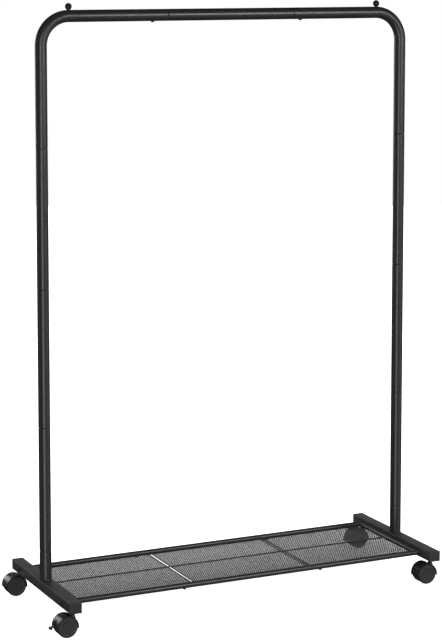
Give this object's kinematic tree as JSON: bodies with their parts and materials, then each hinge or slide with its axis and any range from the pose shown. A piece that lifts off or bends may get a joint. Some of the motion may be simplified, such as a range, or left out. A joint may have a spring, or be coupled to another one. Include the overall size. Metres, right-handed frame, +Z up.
{
  "type": "rolling clothes rack",
  "caption": "Free-standing clothes rack on swivel casters: a jointed round-tube arch with a hanging rail and ball end stops above a flat mesh shelf between its base bars.",
  "frame": {"origin": "on the floor, in the middle of the rack's outline as seen from above, casters trailing towards -X", "axes": "+Z up, +X along the rack's width from the left post to the right post, +Y from front to back"},
  "size_m": [1.1533, 0.44, 1.6178],
  "materials": {
    "tube_coat": "satin black powder coat on steel tube",
    "bar_coat": "satin black powder coat on steel bar",
    "shelf_coat": "satin black powder coat on steel tube and wire",
    "mesh_coat": "black coated expanded steel mesh",
    "cap_plastic": "matte black moulded plastic",
    "screw_black": "black oxide steel",
    "caster_steel": "dark zinc plated steel",
    "hood_plastic": "satin black nylon",
    "wheel_plastic": "satin black nylon",
    "lever_plastic": "satin black nylon"
  },
  "bodies": {
    "frame": {"left_base_bar": "bar_coat", "left_post_stub": "tube_coat", "left_lower_post": "tube_coat", "left_middle_post": "tube_coat", "left_upper_post": "tube_coat", "left_corner_tube": "tube_coat", "left_rail_screw": "screw_black", "left_end_stop": "screw_black", "left_shelf_frame": "shelf_coat", "left_shelf_mesh": "mesh_coat", "left_front_end_cap": "cap_plastic", "left_front_shelf_bolt": "screw_black", "left_front_joint_screw": "screw_black", "left_rear_end_cap": "cap_plastic", "left_rear_shelf_bolt": "screw_black", "left_rear_joint_screw": "screw_black", "right_base_bar": "bar_coat", "right_post_stub": "tube_coat", "right_lower_post": "tube_coat", "right_middle_post": "tube_coat", "right_upper_post": "tube_coat", "right_corner_tube": "tube_coat", "right_rail_screw": "screw_black", "right_end_stop": "screw_black", "right_shelf_frame": "shelf_coat", "right_shelf_mesh": "mesh_coat", "right_front_end_cap": "cap_plastic", "right_front_shelf_bolt": "screw_black", "right_front_joint_screw": "screw_black", "right_rear_end_cap": "cap_plastic", "right_rear_shelf_bolt": "screw_black", "right_rear_joint_screw": "screw_black", "rail_middle_tube": "tube_coat", "middle_shelf_frame": "shelf_coat", "middle_shelf_mesh": "mesh_coat", "right_shelf_mesh_lip": "mesh_coat", "left_front_caster_stem": "caster_steel", "left_rear_caster_stem": "caster_steel", "right_front_caster_stem": "caster_steel", "right_rear_caster_stem": "caster_steel"},
    "left_front_caster_fork": {"left_front_caster_hood": "hood_plastic", "left_front_caster_axle": "caster_steel"},
    "left_front_caster_front_wheel": {"left_front_caster_front_wheel": "wheel_plastic"},
    "left_front_caster_rear_wheel": {"left_front_caster_rear_wheel": "wheel_plastic"},
    "left_front_brake_lever": {"left_front_brake_lever": "lever_plastic"},
    "left_rear_caster_fork": {"left_rear_caster_hood": "hood_plastic", "left_rear_caster_axle": "caster_steel"},
    "left_rear_caster_front_wheel": {"left_rear_caster_front_wheel": "wheel_plastic"},
    "left_rear_caster_rear_wheel": {"left_rear_caster_rear_wheel": "wheel_plastic"},
    "right_front_caster_fork": {"right_front_caster_hood": "hood_plastic", "right_front_caster_axle": "caster_steel"},
    "right_front_caster_front_wheel": {"right_front_caster_front_wheel": "wheel_plastic"},
    "right_front_caster_rear_wheel": {"right_front_caster_rear_wheel": "wheel_plastic"},
    "right_rear_caster_fork": {"right_rear_caster_hood": "hood_plastic", "right_rear_caster_axle": "caster_steel"},
    "right_rear_caster_front_wheel": {"right_rear_caster_front_wheel": "wheel_plastic"},
    "right_rear_caster_rear_wheel": {"right_rear_caster_rear_wheel": "wheel_plastic"},
    "right_rear_brake_lever": {"right_rear_brake_lever": "lever_plastic"}
  },
  "joints": [
    {"name": "left_front_swivel", "type": "hinge", "parent": "frame", "child": "left_front_caster_fork", "pos_m": [-0.51265, -0.193, 0.05], "axis": [0, 0, 1], "continuous": true},
    {"name": "left_front_front_wheel_spin", "type": "hinge", "parent": "left_front_caster_fork", "child": "left_front_caster_front_wheel", "pos_m": [-0.53165, -0.2075, 0.0275], "axis": [0, 1, 0], "continuous": true},
    {"name": "left_front_rear_wheel_spin", "type": "hinge", "parent": "left_front_caster_fork", "child": "left_front_caster_rear_wheel", "pos_m": [-0.53165, -0.1785, 0.0275], "axis": [0, 1, 0], "continuous": true},
    {"name": "left_front_brake_press", "type": "hinge", "parent": "left_front_caster_fork", "child": "left_front_brake_lever", "pos_m": [-0.55215, -0.193, 0.03], "axis": [0, -1, 0], "range_deg": [0, 11]},
    {"name": "left_rear_swivel", "type": "hinge", "parent": "frame", "child": "left_rear_caster_fork", "pos_m": [-0.51265, 0.193, 0.05], "axis": [0, 0, 1], "continuous": true},
    {"name": "left_rear_front_wheel_spin", "type": "hinge", "parent": "left_rear_caster_fork", "child": "left_rear_caster_front_wheel", "pos_m": [-0.53165, 0.1785, 0.0275], "axis": [0, 1, 0], "continuous": true},
    {"name": "left_rear_rear_wheel_spin", "type": "hinge", "parent": "left_rear_caster_fork", "child": "left_rear_caster_rear_wheel", "pos_m": [-0.53165, 0.2075, 0.0275], "axis": [0, 1, 0], "continuous": true},
    {"name": "right_front_swivel", "type": "hinge", "parent": "frame", "child": "right_front_caster_fork", "pos_m": [0.55735, -0.193, 0.05], "axis": [0, 0, 1], "continuous": true},
    {"name": "right_front_front_wheel_spin", "type": "hinge", "parent": "right_front_caster_fork", "child": "right_front_caster_front_wheel", "pos_m": [0.53835, -0.2075, 0.0275], "axis": [0, 1, 0], "continuous": true},
    {"name": "right_front_rear_wheel_spin", "type": "hinge", "parent": "right_front_caster_fork", "child": "right_front_caster_rear_wheel", "pos_m": [0.53835, -0.1785, 0.0275], "axis": [0, 1, 0], "continuous": true},
    {"name": "right_rear_swivel", "type": "hinge", "parent": "frame", "child": "right_rear_caster_fork", "pos_m": [0.55735, 0.193, 0.05], "axis": [0, 0, 1], "continuous": true},
    {"name": "right_rear_front_wheel_spin", "type": "hinge", "parent": "right_rear_caster_fork", "child": "right_rear_caster_front_wheel", "pos_m": [0.53835, 0.1785, 0.0275], "axis": [0, 1, 0], "continuous": true},
    {"name": "right_rear_rear_wheel_spin", "type": "hinge", "parent": "right_rear_caster_fork", "child": "right_rear_caster_rear_wheel", "pos_m": [0.53835, 0.2075, 0.0275], "axis": [0, 1, 0], "continuous": true},
    {"name": "right_rear_brake_press", "type": "hinge", "parent": "right_rear_caster_fork", "child": "right_rear_brake_lever", "pos_m": [0.51785, 0.193, 0.03], "axis": [0, -1, 0], "range_deg": [0, 11]}
  ]
}
